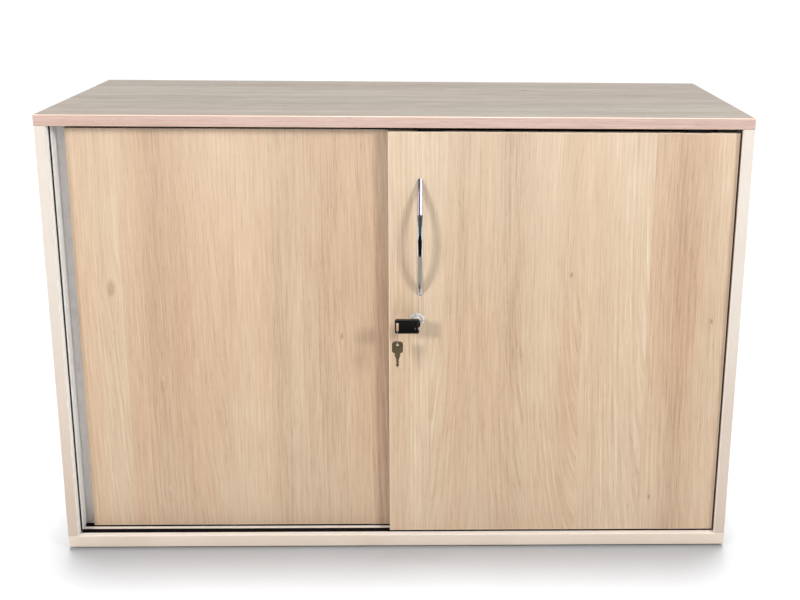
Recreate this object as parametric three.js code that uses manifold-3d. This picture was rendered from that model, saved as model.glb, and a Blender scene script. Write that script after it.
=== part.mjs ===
// A desk-high office credenza with two sliding doors, in millimetres with +Z up.
// The origin is on the floor under the middle of the carcass, and the doors face -Y.
// The right door runs on the front track and the left door on the rear track.

import * as THREE from 'three';
import { mergeVertices } from 'three/addons/utils/BufferGeometryUtils.js';
import Module from 'manifold-3d';

const wasm = await Module();
wasm.setup();

// Carcass
const width = 1200;
const depth = 450;
const height = 800;
const topThickness = 19;
const bottomThickness = 22;
const sideThickness = 18;
const edgingThickness = 2;
const edgeRadius = 1.5;
const backThickness = 8;
const backInset = 10;
const backGroove = 6;

// Clearance between pieces that fit together
const fitGap = 0.3;

// Interior
const interiorSetback = 58;
const dividerThickness = 18;
const shelfThickness = 19;
const shelfHeight = 367;
const shelfGap = 1;
const pinRadius = 2.5;
const pinShank = 8;
const pinReach = 9;
const pinInset = 45;

// Glides
const glideHeight = 5;
const glideRadius = 14;
const glideChamfer = 1.5;
const glideInset = 50;
const glidePegRadius = 4;
const glidePegLength = 9;

// Tracks, let into the bottom and top panels
const trackSetback = 12;
const trackWidth = 14;
const trackWall = 1.5;
const lowerTrackDepth = 8;
const upperTrackDepth = 11;

// Doors
const doorThickness = 16;
const doorClearance = 6;
const doorPastCentre = 16.5;
const doorLowerGap = 3;
const doorUpperGap = 8;
const fingerGap = 20;
const stopGap = 0.5;

// End profiles behind the finger gap, and buffer strips for the front door
const profileThickness = 1.5;
const profileReach = 30;
const profileFrontGap = 1;
const profileDoorGap = 3;
const bufferThickness = 2;
const bufferWidth = 4;

// Rollers in the lower edge of each door, guides in the upper edge
const runnerInset = 70;
const wheelRadius = 14;
const wheelWidth = 6;
const wheelChamfer = 1;
const wheelGap = 1.5;
const wheelSideGap = 0.5;
const axleRadius = 2.5;
const axleSeat = 0.7;
const rollerWidth = 10;
const rollerEnd = 12;
const rollerRoof = 5;
const guideLength = 40;
const guideWidth = 10;
const guideDepth = 16;
const finWidth = 8;
const finReach = 6;

// Bow handle
const handleFromEdge = 54.5;
const handleBelowTop = 185;
const handleChord = 197;
const handleRise = 28;
const handleWidth = 10;
const handleThickness = 7;
const screwSpacing = 192;
const screwRadius = 2;
const screwBite = 3.8;
const screwHeadRadius = 4;
const screwHeadHeight = 2.5;
const screwClearance = 0.5;

// Push lock: the plunger slides in the housing, and its bolt stops the rear door
const lockFromEdge = 49.5;
const lockBelowHandle = 148;
const rosetteRadius = 13;
const rosetteHeight = 3;
const rosetteChamfer = 2;
const barrelRadius = 9;
const barrelTail = 0.5;
const barrelEndWall = 2;
const nutRadius = 13;
const nutThickness = 2.5;
const plungerRadius = 7.5;
const plungerStroke = 10;
const plungerEndGap = 1;
const boltRadius = 4;
const boltGap = 3;
const plugRadius = 5;
const plugLength = 14.7;

// Key in the lock, with a folding head
const bladeThickness = 2;
const bladeWidth = 7;
const bladeInPlug = 11;
const bladeInHub = 6;
const hubRadius = 6;
const hubLength = 13;
const hubGap = 1;
const tongueThickness = 5;
const tongueWidth = 14;
const tongueReach = 7;
const hingeRadius = 1;
const headLength = 42;
const headWidth = 25;
const headThickness = 7;
const headOverlap = 4;
const headCorner = 3;
const tongueGap = 0.5;
const headPinMargin = 1;
const slotWidth = 4.2;
const slotLength = 17;
const slotBar = 2.5;
const slotFromEnd = 2.4;

// Wire ring and spare key
const ringRadius = 12;
const wireRadius = 0.6;
const spareThickness = 2;
const spareHoleRadius = 2.4;
const spareBowWidth = 19;
const spareBowAbove = 6.3;
const spareBowBelow = 14.5;
const spareBowCorner = 5;
const spareShoulder = 4.5;
const spareBladeWidth = 5.5;
const spareBladeLength = 22.5;
const spareTip = 3;
const spareNotches = 3;
const spareNotchPitch = 4;
const spareNotchDepth = 1.5;

// Facets of round pieces
const roundSides = 24;
const smallSides = 12;
const cornerSteps = 4;
const bowSteps = 28;
const ringSteps = 24;
const wireSides = 6;

// How far a cutting tool runs past the face it cuts
const overcut = 1;

// Places worked out from the sizes above
const frontY = -depth / 2;
const backY = depth / 2;
const floorZ = glideHeight + bottomThickness;
const ceilingZ = height - topThickness;
const innerX = width / 2 - sideThickness;
const backFaceY = backY - backInset - backThickness;
const interiorFrontY = frontY + interiorSetback;
const shelfZ = floorZ + shelfHeight;
const frontTrackY = frontY + trackSetback + trackWidth / 2;
const rearTrackY = frontTrackY + doorThickness + doorClearance;
const doorBottomZ = floorZ + doorLowerGap;
const doorHeight = ceilingZ - doorUpperGap - doorBottomZ;
const rightDoorX = -doorPastCentre;
const rightDoorWidth = innerX - bufferThickness - stopGap - rightDoorX;
const leftDoorX = -innerX + fingerGap;
const leftDoorWidth = rightDoorX + lockFromEdge - boltRadius - boltGap - leftDoorX;
const handleZ = doorHeight - handleBelowTop;
const lockZ = handleZ - lockBelowHandle;
const wheelZ = floorZ - lowerTrackDepth + trackWall + fitGap + wheelRadius - doorBottomZ;
const rollerHeight = wheelZ + wheelRadius + wheelGap + rollerRoof;
const rollerLength = 2 * (wheelRadius + wheelGap + rollerEnd);

// Finishes
const finish = (color, roughness, metalness = 0) => (
  new THREE.MeshStandardMaterial({ color, roughness, metalness })
);
const doorDecor = finish('#dfc8a8', 0.5);
const topDecor = finish('#cbbfae', 0.45);
const edgingDecor = finish('#e3c8b8', 0.5);
const creamBoard = finish('#ede2d3', 0.5);
const whiteBoard = finish('#eeece6', 0.6);
const blackPlastic = finish('#1c1b1b', 0.5);
const greyMetal = finish('#aba8a4', 0.4, 0.8);
const darkRubber = finish('#4a4a46', 0.8);
const whitePlastic = finish('#e2e0da', 0.5);
const chrome = finish('#d4d4d6', 0.1, 1);
const nickel = finish('#c4c3c0', 0.25, 1);
const steel = finish('#a9a8a4', 0.35, 1);
const keyPlastic = finish('#171517', 0.4);
const keyMetal = finish('#8d8673', 0.35, 1);

// Solids from three.js geometry, without the flat triangles at a pole
function solidOf(geometry) {
  const bare = geometry.clone();
  bare.deleteAttribute('normal');
  bare.deleteAttribute('uv');
  const merged = mergeVertices(bare, 1e-4);
  const corners = merged.index.array;
  const kept = [];
  for (let i = 0; i < corners.length; i += 3) {
    const [a, b, c] = corners.slice(i, i + 3);
    if (a !== b && b !== c && c !== a) {
      kept.push(a, b, c);
    }
  }
  return new wasm.Manifold(new wasm.Mesh({
    numProp: 3,
    vertProperties: new Float32Array(merged.attributes.position.array),
    triVerts: new Uint32Array(kept),
  }));
}

function geometryOf(solid) {
  const mesh = solid.getMesh();
  const geometry = new THREE.BufferGeometry();
  geometry.setAttribute('position', new THREE.BufferAttribute(mesh.vertProperties, 3));
  geometry.setIndex(new THREE.BufferAttribute(mesh.triVerts, 1));
  geometry.computeVertexNormals();
  return geometry;
}

function cut(body, tools) {
  return geometryOf(tools.reduce((rest, tool) => rest.subtract(solidOf(tool)), solidOf(body)));
}

function join(first, second) {
  return geometryOf(solidOf(first).add(solidOf(second)));
}

// Basic shapes
function block([x0, x1], [y0, y1], [z0, z1]) {
  const geometry = new THREE.BoxGeometry(x1 - x0, y1 - y0, z1 - z0);
  return geometry.translate((x0 + x1) / 2, (y0 + y1) / 2, (z0 + z1) / 2);
}

function around(middle, half) {
  return [middle - half, middle + half];
}

function rodX(radius, [x0, x1], y, z) {
  const geometry = new THREE.CylinderGeometry(radius, radius, x1 - x0, smallSides);
  return geometry.rotateZ(-Math.PI / 2).translate((x0 + x1) / 2, y, z);
}

function rodY(radius, [y0, y1], x, z, sides = roundSides) {
  const geometry = new THREE.CylinderGeometry(radius, radius, y1 - y0, sides);
  return geometry.translate(x, (y0 + y1) / 2, z);
}

function rodZ(radius, [z0, z1], x, y) {
  const geometry = new THREE.CylinderGeometry(radius, radius, z1 - z0, smallSides);
  return geometry.rotateX(Math.PI / 2).translate(x, y, (z0 + z1) / 2);
}

function turned(profile, sides = roundSides) {
  const points = profile.map(([radius, along]) => new THREE.Vector2(radius, along));
  return geometryOf(solidOf(new THREE.LatheGeometry(points, sides)));
}

function polygon(points) {
  return new THREE.Shape(points.map(([a, b]) => new THREE.Vector2(a, b)));
}

function extruded(shape, length) {
  return new THREE.ExtrudeGeometry(shape, {
    depth: length,
    bevelEnabled: false,
    curveSegments: cornerSteps,
  });
}

function turnAxes(geometry, first, second, third) {
  return geometry.applyMatrix4(new THREE.Matrix4().makeBasis(first, second, third));
}

const axisX = new THREE.Vector3(1, 0, 0);
const axisY = new THREE.Vector3(0, 1, 0);
const axisZ = new THREE.Vector3(0, 0, 1);
const towardsFront = new THREE.Vector3(0, -1, 0);
const towardsLeft = new THREE.Vector3(-1, 0, 0);

// A section drawn in Y and Z, run from x0 to x1
function runX(shape, [x0, x1]) {
  return turnAxes(extruded(shape, x1 - x0), axisY, axisZ, axisX).translate(x0, 0, 0);
}

// A plate drawn in X and Z, with its faces at y0 and y1
function plateY(shape, [y0, y1]) {
  return turnAxes(extruded(shape, y1 - y0), axisX, axisZ, towardsFront).translate(0, y1, 0);
}

// A board's section with both front corners rounded
function boardSection([side0, side1], front, back) {
  const shape = new THREE.Shape();
  const centre = front + edgeRadius;
  shape.moveTo(side0, back);
  shape.lineTo(side0, centre);
  shape.absarc(side0 + edgeRadius, centre, edgeRadius, Math.PI, 1.5 * Math.PI);
  shape.absarc(side1 - edgeRadius, centre, edgeRadius, 1.5 * Math.PI, 2 * Math.PI);
  shape.lineTo(side1, back);
  return shape;
}

function uprightBoard(xRange, [front, back], [z0, z1]) {
  return extruded(boardSection(xRange, front, back), z1 - z0).translate(0, 0, z0);
}

function levelBoard([x0, x1], [front, back], zRange) {
  const board = extruded(boardSection(zRange, front, back), x1 - x0);
  return turnAxes(board, axisZ, axisY, towardsLeft).translate(x1, 0, 0);
}

function addPiece(group, name, geometry, material, x = 0, y = 0, z = 0) {
  const piece = new THREE.Mesh(geometry, material);
  piece.name = name;
  piece.position.set(x, y, z);
  group.add(piece);
}

// Panels

function backGrooveTool(xRange, zRange) {
  return block(xRange, [backFaceY - fitGap, backFaceY + backThickness + fitGap], zRange);
}

function trackGrooves(zRange) {
  return [frontTrackY, rearTrackY].map(
    (y) => block([-innerX, innerX], around(y, trackWidth / 2), zRange),
  );
}

function glidePlaces() {
  const x = width / 2 - glideInset;
  const y = depth / 2 - glideInset;
  return [
    ['front_left_glide', -x, -y],
    ['front_right_glide', x, -y],
    ['rear_left_glide', -x, y],
    ['rear_right_glide', x, y],
    ['centre_glide', 0, 0],
  ];
}

function pinRows() {
  return [
    ['front', interiorFrontY + pinInset],
    ['rear', backFaceY - pinInset],
  ];
}

const pinZ = shelfZ - fitGap - pinRadius;

function pinHoles(xRange) {
  return pinRows().map(([, y]) => rodX(pinRadius + fitGap, xRange, y, pinZ));
}

function addPanels(group) {
  const grooveX = [-innerX - backGroove, innerX + backGroove];
  const pegHoles = glidePlaces().map(([, x, y]) => rodZ(
    glidePegRadius + fitGap,
    [glideHeight - overcut, glideHeight + glidePegLength + fitGap],
    x,
    y,
  ));
  const bottom = cut(
    levelBoard([-width / 2, width / 2], [frontY, backY], [glideHeight, floorZ]),
    [
      ...trackGrooves([floorZ - lowerTrackDepth, floorZ + overcut]),
      backGrooveTool(grooveX, [floorZ - backGroove, floorZ + overcut]),
      ...pegHoles,
    ],
  );
  addPiece(group, 'bottom_panel', bottom, creamBoard);

  const topFront = frontY + edgingThickness;
  const top = cut(
    block([-width / 2, width / 2], [topFront, backY], [ceilingZ, height]),
    [
      ...trackGrooves([ceilingZ - overcut, ceilingZ + upperTrackDepth]),
      backGrooveTool(grooveX, [ceilingZ - overcut, ceilingZ + backGroove]),
    ],
  );
  addPiece(group, 'top_panel', top, topDecor);
  const edging = levelBoard([-width / 2, width / 2], [frontY, topFront], [ceilingZ, height]);
  addPiece(group, 'top_front_edging', edging, edgingDecor);

  const upright = [floorZ, ceilingZ];
  const grooveZ = [floorZ - overcut, ceilingZ + overcut];
  const leftSide = cut(
    uprightBoard([-width / 2, -innerX], [frontY, backY], upright),
    [
      backGrooveTool([-innerX - backGroove, -innerX + overcut], grooveZ),
      ...pinHoles([-innerX - pinShank - fitGap, -innerX + overcut]),
    ],
  );
  addPiece(group, 'left_side_panel', leftSide, creamBoard);
  const rightSide = cut(
    uprightBoard([innerX, width / 2], [frontY, backY], upright),
    [
      backGrooveTool([innerX - overcut, innerX + backGroove], grooveZ),
      ...pinHoles([innerX - overcut, innerX + pinShank + fitGap]),
    ],
  );
  addPiece(group, 'right_side_panel', rightSide, creamBoard);

  const backEdge = backGroove - fitGap;
  const back = block(
    [-innerX - backEdge, innerX + backEdge],
    [backFaceY, backFaceY + backThickness],
    [floorZ - backEdge, ceilingZ + backEdge],
  );
  addPiece(group, 'back_panel', back, whiteBoard);
}

// Divider, shelves and shelf pins
function addInterior(group) {
  const half = dividerThickness / 2;
  const divider = cut(
    uprightBoard([-half, half], [interiorFrontY, backFaceY - fitGap], [floorZ, ceilingZ]),
    [
      ...pinHoles([-half - overcut, -half + pinShank + fitGap]),
      ...pinHoles([half - pinShank - fitGap, half + overcut]),
    ],
  );
  addPiece(group, 'centre_divider', divider, creamBoard);

  const pin = turned([
    [0, 0],
    [pinRadius, 0],
    [pinRadius, pinShank + pinReach],
    [0, pinShank + pinReach],
  ], smallSides).rotateZ(-Math.PI / 2);
  const bays = [
    ['left', -innerX, -half],
    ['right', half, innerX],
  ];
  for (const [bay, x0, x1] of bays) {
    const shelf = levelBoard(
      [x0 + shelfGap, x1 - shelfGap],
      [interiorFrontY, backFaceY - shelfGap],
      [shelfZ, shelfZ + shelfThickness],
    );
    addPiece(group, `${bay}_shelf`, shelf, creamBoard);
    const sides = [
      ['left', x0 - pinShank],
      ['right', x1 - pinReach],
    ];
    for (const [side, x] of sides) {
      for (const [row, y] of pinRows()) {
        addPiece(group, `${bay}_shelf_pin_${row}_${side}`, pin, nickel, x, y, pinZ);
      }
    }
  }
}

function addGlides(group) {
  const glide = turned([
    [0, 0],
    [glideRadius - glideChamfer, 0],
    [glideRadius, glideChamfer],
    [glideRadius, glideHeight],
    [glidePegRadius, glideHeight],
    [glidePegRadius, glideHeight + glidePegLength],
    [0, glideHeight + glidePegLength],
  ]).rotateX(Math.PI / 2);
  for (const [name, x, y] of glidePlaces()) {
    addPiece(group, name, glide, blackPlastic, x, y, 0);
  }
}

// Channels of the tracks, and the stops that keep the finger gap
const trackInner = trackWidth / 2 - fitGap - trackWall;

function trackSection(y, base, lip) {
  const outer = trackWidth / 2 - fitGap;
  const inner = base + Math.sign(lip - base) * trackWall;
  return polygon([
    [y - outer, base],
    [y + outer, base],
    [y + outer, lip],
    [y + trackInner, lip],
    [y + trackInner, inner],
    [y - trackInner, inner],
    [y - trackInner, lip],
    [y - outer, lip],
  ]);
}

function addTracks(group) {
  const run = [-innerX + fitGap, innerX - fitGap];
  const rows = [
    ['front', frontTrackY],
    ['rear', rearTrackY],
  ];
  for (const [row, y] of rows) {
    const lower = trackSection(y, floorZ - lowerTrackDepth, floorZ);
    addPiece(group, `lower_${row}_track`, runX(lower, run), blackPlastic);
    const upper = trackSection(y, ceilingZ + upperTrackDepth, ceilingZ);
    addPiece(group, `upper_${row}_track`, runX(upper, run), blackPlastic);
  }

  const stopEnd = fingerGap + runnerInset - guideLength / 2 - stopGap;
  const stop = block(
    [0, stopEnd - fitGap],
    around(rearTrackY, trackInner - fitGap),
    [ceilingZ, ceilingZ + upperTrackDepth - trackWall - fitGap],
  );
  addPiece(group, 'left_track_stop', stop, darkRubber, -innerX + fitGap);
  addPiece(group, 'right_track_stop', stop, darkRubber, innerX - stopEnd);
}

// L profiles on both side panels, and the strips that the front door closes against
function addEndTrim(group) {
  const profileFront = frontTrackY + doorThickness / 2 + profileFrontGap;
  const profileBack = rearTrackY + doorThickness / 2 + profileDoorGap + profileThickness;
  const tall = ceilingZ - floorZ - 2 * fitGap;
  const ends = [
    ['left', 1],
    ['right', -1],
  ];
  for (const [end, inward] of ends) {
    const wall = -inward * innerX;
    const face = wall + inward * profileThickness;
    const reach = wall + inward * profileReach;
    const section = polygon([
      [wall, profileFront],
      [face, profileFront],
      [face, profileBack - profileThickness],
      [reach, profileBack - profileThickness],
      [reach, profileBack],
      [wall, profileBack],
    ]);
    const profile = extruded(section, tall);
    addPiece(group, `${end}_end_profile`, profile, greyMetal, 0, 0, floorZ + fitGap);
    const strip = new THREE.BoxGeometry(bufferThickness, bufferWidth, tall);
    const stripX = wall + inward * bufferThickness / 2;
    const middleZ = (floorZ + ceilingZ) / 2;
    addPiece(group, `${end}_buffer_strip`, strip, darkRubber, stripX, frontTrackY, middleZ);
  }
}

// Doors, drawn from the lower left corner of the front face

function runnerPlaces(doorWidth) {
  return [
    ['left', runnerInset],
    ['right', doorWidth - runnerInset],
  ];
}

function doorPanel(doorWidth, openings) {
  const outline = polygon([[0, 0], [doorWidth, 0], [doorWidth, doorHeight], [0, doorHeight]]);
  const board = turnAxes(new THREE.ExtrudeGeometry(outline, {
    depth: doorThickness - 2 * edgeRadius,
    bevelThickness: edgeRadius,
    bevelSize: edgeRadius,
    bevelOffset: -edgeRadius,
    bevelSegments: cornerSteps,
  }), axisX, axisZ, towardsFront).translate(0, doorThickness - edgeRadius, 0);
  const middleY = doorThickness / 2;
  const mortises = runnerPlaces(doorWidth).flatMap(([, x]) => [
    block(
      around(x, rollerLength / 2 + fitGap),
      around(middleY, rollerWidth / 2 + fitGap),
      [-overcut, rollerHeight + fitGap],
    ),
    block(
      around(x, guideLength / 2 + fitGap),
      around(middleY, guideWidth / 2 + fitGap),
      [doorHeight - guideDepth - fitGap, doorHeight + overcut],
    ),
  ]);
  return cut(board, [...mortises, ...openings]);
}

// The wheel runs on a pin that is moulded across the housing's slot
function rollerHousing() {
  const slotHalf = wheelWidth / 2 + wheelSideGap;
  const shell = cut(
    block(around(0, rollerLength / 2), around(0, rollerWidth / 2), [0, rollerHeight]),
    [block(
      around(0, wheelRadius + wheelGap),
      around(0, slotHalf),
      [-overcut, wheelZ + wheelRadius + wheelGap],
    )],
  );
  return join(shell, rodY(axleRadius, around(0, slotHalf + axleSeat), 0, wheelZ, smallSides));
}

function rollerWheel() {
  const half = wheelWidth / 2;
  const bore = axleRadius + fitGap;
  return turned([
    [bore, -half],
    [wheelRadius - wheelChamfer, -half],
    [wheelRadius, -half + wheelChamfer],
    [wheelRadius, half - wheelChamfer],
    [wheelRadius - wheelChamfer, half],
    [bore, half],
    [bore, -half],
  ]);
}

function topGuide() {
  const finTop = doorUpperGap + finReach;
  const section = polygon([
    [-guideWidth / 2, -guideDepth],
    [guideWidth / 2, -guideDepth],
    [guideWidth / 2, 0],
    [finWidth / 2, 0],
    [finWidth / 2, finTop],
    [-finWidth / 2, finTop],
    [-finWidth / 2, 0],
    [-guideWidth / 2, 0],
  ]);
  return runX(section, around(0, guideLength / 2));
}

function slidingDoor(side, doorWidth, openings) {
  const door = new THREE.Group();
  const middleY = doorThickness / 2;
  addPiece(door, `${side}_door_panel`, doorPanel(doorWidth, openings), doorDecor);
  for (const [end, x] of runnerPlaces(doorWidth)) {
    const prefix = `${side}_door_${end}`;
    addPiece(door, `${prefix}_roller_housing`, rollerHousing(), blackPlastic, x, middleY, 0);
    addPiece(door, `${prefix}_wheel`, rollerWheel(), whitePlastic, x, middleY, wheelZ);
    addPiece(door, `${prefix}_top_guide`, topGuide(), blackPlastic, x, middleY, doorHeight);
  }
  return door;
}

// Bow handle, drawn about the middle of its chord on the door's face

class BowCurve extends THREE.Curve {
  constructor(chord, rise, overrun) {
    super();
    this.rise = rise;
    this.radius = (chord * chord / 4 + rise * rise) / (2 * rise);
    this.reach = Math.asin(chord / 2 / this.radius) + overrun / this.radius;
  }

  getPoint(t, target = new THREE.Vector3()) {
    const angle = (2 * t - 1) * this.reach;
    const out = this.rise - this.radius * (1 - Math.cos(angle));
    return target.set(0, -out, this.radius * Math.sin(angle));
  }
}

const screwPlaces = [
  ['upper', screwSpacing / 2],
  ['lower', -screwSpacing / 2],
];

function bowHandle() {
  const section = new THREE.Shape();
  section.absellipse(0, 0, handleWidth / 2, handleThickness / 2, 0, 2 * Math.PI);
  const bar = new THREE.ExtrudeGeometry(section, {
    steps: bowSteps,
    curveSegments: cornerSteps * 2,
    extrudePath: new BowCurve(handleChord, handleRise, 2 * handleThickness),
  });
  const behindDoorFace = block(
    around(0, handleWidth),
    [0, 2 * handleRise],
    around(0, handleChord),
  );
  const holes = screwPlaces.map(([, z]) => (
    rodY(screwRadius + fitGap, [-screwBite - fitGap, overcut], 0, z, smallSides)
  ));
  return cut(bar, [behindDoorFace, ...holes]);
}

function handleScrew() {
  return turned([
    [0, -screwBite],
    [screwRadius, -screwBite],
    [screwRadius, doorThickness],
    [screwHeadRadius, doorThickness],
    [screwHeadRadius, doorThickness + screwHeadHeight],
    [0, doorThickness + screwHeadHeight],
  ], smallSides);
}

function handleGroup() {
  const group = new THREE.Group();
  addPiece(group, 'bow_handle', bowHandle(), chrome);
  for (const [place, z] of screwPlaces) {
    addPiece(group, `${place}_handle_screw`, handleScrew(), steel, 0, 0, z);
  }
  return group;
}

// Lock and key, drawn about the lock's axis with the door's face at y = 0

const barrelEnd = doorThickness + nutThickness + barrelTail;
const plungerFace = -rosetteHeight - plungerStroke;
const plungerBack = barrelEnd - barrelEndWall - plungerEndGap - plungerStroke;
const plugFace = plungerFace + fitGap;
const hubBack = plungerFace - hubGap;
const hubFront = hubBack - hubLength;
const hingeY = hubFront - tongueReach;

function lockHousing() {
  const bore = plungerRadius + fitGap;
  const boltHole = boltRadius + fitGap;
  return turned([
    [bore, -rosetteHeight],
    [rosetteRadius - rosetteChamfer, -rosetteHeight],
    [rosetteRadius, -rosetteHeight + rosetteChamfer],
    [rosetteRadius, 0],
    [barrelRadius, 0],
    [barrelRadius, barrelEnd],
    [boltHole, barrelEnd],
    [boltHole, barrelEnd - barrelEndWall],
    [bore, barrelEnd - barrelEndWall],
    [bore, -rosetteHeight],
  ]);
}

function lockNut() {
  const ends = [doorThickness, doorThickness + nutThickness];
  const bore = rodY(barrelRadius + fitGap, [ends[0] - overcut, ends[1] + overcut], 0, 0);
  return cut(rodY(nutRadius, ends, 0, 0, 6), [bore]);
}

function lockPlunger() {
  const socket = plugRadius + fitGap;
  const socketEnd = plugFace + plugLength + fitGap;
  return turned([
    [0, socketEnd],
    [socket, socketEnd],
    [socket, plungerFace],
    [plungerRadius, plungerFace],
    [plungerRadius, plungerBack],
    [boltRadius, plungerBack],
    [boltRadius, barrelEnd],
    [0, barrelEnd],
  ]);
}

const bladeEnds = [hubBack - bladeInHub, plugFace + bladeInPlug];

function bladeSlot(yRange) {
  return block(
    around(0, bladeThickness / 2 + fitGap),
    yRange,
    around(0, bladeWidth / 2 + fitGap),
  );
}

function lockPlug() {
  const body = rodY(plugRadius, [plugFace, plugFace + plugLength], 0, 0);
  return cut(body, [bladeSlot([plugFace - overcut, bladeEnds[1] + fitGap])]);
}

function keyBlade() {
  return block(around(0, bladeThickness / 2), bladeEnds, around(0, bladeWidth / 2));
}

// Round hub with a tongue that carries the hinge of the folding head
function keyHub() {
  const tongueHalf = tongueThickness / 2;
  const widthRange = around(0, tongueWidth / 2);
  const tongue = join(
    block(around(0, tongueHalf), [hingeY, hubFront + overcut], widthRange),
    rodZ(tongueHalf, widthRange, 0, hingeY),
  );
  const body = join(rodY(hubRadius, [hubFront, hubBack], 0, 0), tongue);
  const pinHole = rodZ(hingeRadius + fitGap, around(0, tongueWidth), 0, hingeY);
  return cut(body, [bladeSlot([bladeEnds[0] - fitGap, hubBack + overcut]), pinHole]);
}

function roundedRectangle([x0, x1], [z0, z1], radius) {
  const shape = new THREE.Shape();
  shape.absarc(x1 - radius, z1 - radius, radius, 0, Math.PI / 2);
  shape.absarc(x0 + radius, z1 - radius, radius, Math.PI / 2, Math.PI);
  shape.absarc(x0 + radius, z0 + radius, radius, Math.PI, 1.5 * Math.PI);
  shape.absarc(x1 - radius, z0 + radius, radius, 1.5 * Math.PI, 2 * Math.PI);
  return shape;
}

// The head is drawn folded to the left, about its hinge
const headEnd = headOverlap - headLength;
const slotX = headEnd + slotFromEnd + slotWidth / 2;
const slotBottom = -headWidth / 2 + slotBar;

function keyHead() {
  const outline = roundedRectangle(
    [headEnd, headOverlap],
    around(0, headWidth / 2),
    headCorner,
  );
  const plate = plateY(outline, around(0, headThickness / 2));
  const slot = roundedRectangle(
    around(slotX, slotWidth / 2),
    [slotBottom, slotBottom + slotLength],
    slotWidth / 4,
  );
  const notch = block(
    [-tongueThickness / 2 - tongueGap, headOverlap + overcut],
    around(0, headThickness),
    around(0, tongueWidth / 2 + fitGap),
  );
  return cut(plate, [
    plateY(slot, around(0, headThickness)),
    notch,
    rodZ(hingeRadius + fitGap, around(0, headWidth), 0, 0),
  ]);
}

// The ring hangs on the bar under the head's slot, and the spare key on the ring
const ringInner = ringRadius - wireRadius;
const ringZ = slotBottom + fitGap - Math.sqrt(ringInner ** 2 - (headThickness / 2) ** 2);
const spareZ = ringZ - ringInner + fitGap - spareHoleRadius;

function keyRing() {
  const ring = new THREE.TorusGeometry(ringRadius, wireRadius, wireSides, ringSteps);
  return geometryOf(solidOf(ring.rotateY(Math.PI / 2)));
}

function spareKey() {
  const half = spareBladeWidth / 2;
  const shoulderZ = -spareBowBelow - spareShoulder;
  const tipZ = shoulderZ - spareBladeLength;
  const bow = roundedRectangle(
    around(0, spareBowWidth / 2),
    [-spareBowBelow, spareBowAbove],
    spareBowCorner,
  );
  const blade = polygon([
    [-half - spareShoulder, -spareBowBelow + spareBowCorner],
    [-half - spareShoulder, -spareBowBelow],
    [-half, shoulderZ],
    [-half, tipZ + spareTip],
    [0, tipZ],
    [half, tipZ + spareTip],
    [half, shoulderZ],
    [half + spareShoulder, -spareBowBelow],
    [half + spareShoulder, -spareBowBelow + spareBowCorner],
  ]);
  const thick = around(0, spareThickness / 2);
  const notches = Array.from({ length: spareNotches }, (_, i) => {
    const z = shoulderZ - (i + 1) * spareNotchPitch;
    return plateY(polygon([
      [half + overcut, z - spareNotchPitch / 2],
      [half + overcut, z + spareNotchPitch / 2],
      [half - spareNotchDepth, z],
    ]), around(0, spareThickness));
  });
  return cut(join(plateY(bow, thick), plateY(blade, thick)), [
    rodY(spareHoleRadius, around(0, spareThickness), 0, 0, smallSides),
    ...notches,
  ]);
}

function lockGroup() {
  const group = new THREE.Group();
  addPiece(group, 'lock_housing', lockHousing(), nickel);
  addPiece(group, 'lock_nut', lockNut(), steel);
  addPiece(group, 'lock_plunger', lockPlunger(), nickel);
  addPiece(group, 'lock_plug', lockPlug(), nickel);
  addPiece(group, 'key_blade', keyBlade(), steel);
  addPiece(group, 'key_hub', keyHub(), keyPlastic);

  const folding = new THREE.Group();
  folding.position.y = hingeY;
  const pinHalf = headWidth / 2 - headPinMargin;
  addPiece(folding, 'key_head', keyHead(), keyPlastic);
  addPiece(folding, 'key_hinge_pin', rodZ(hingeRadius, around(0, pinHalf), 0, 0), steel);
  addPiece(folding, 'key_ring', keyRing(), nickel, slotX, 0, ringZ);
  addPiece(folding, 'spare_key', spareKey(), keyMetal, slotX, 0, spareZ);
  group.add(folding);
  return group;
}

// Assembly

const credenza = new THREE.Group();
addPanels(credenza);
addInterior(credenza);
addGlides(credenza);
addTracks(credenza);
addEndTrim(credenza);

const handleHoles = screwPlaces.map(([, z]) => rodY(
  screwRadius + screwClearance,
  [-overcut, doorThickness + overcut],
  handleFromEdge,
  handleZ + z,
  smallSides,
));
const lockHole = rodY(
  barrelRadius + fitGap,
  [-overcut, doorThickness + overcut],
  lockFromEdge,
  lockZ,
);
const rightDoor = slidingDoor('right', rightDoorWidth, [...handleHoles, lockHole]);
rightDoor.position.set(rightDoorX, frontTrackY - doorThickness / 2, doorBottomZ);
const handle = handleGroup();
handle.position.set(handleFromEdge, 0, handleZ);
const lock = lockGroup();
lock.position.set(lockFromEdge, 0, lockZ);
rightDoor.add(handle, lock);

const leftDoor = slidingDoor('left', leftDoorWidth, []);
leftDoor.position.set(leftDoorX, rearTrackY - doorThickness / 2, doorBottomZ);
credenza.add(rightDoor, leftDoor);

export default credenza;
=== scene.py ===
import bmesh
import bpy
import math
from mathutils import Matrix, Vector


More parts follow.
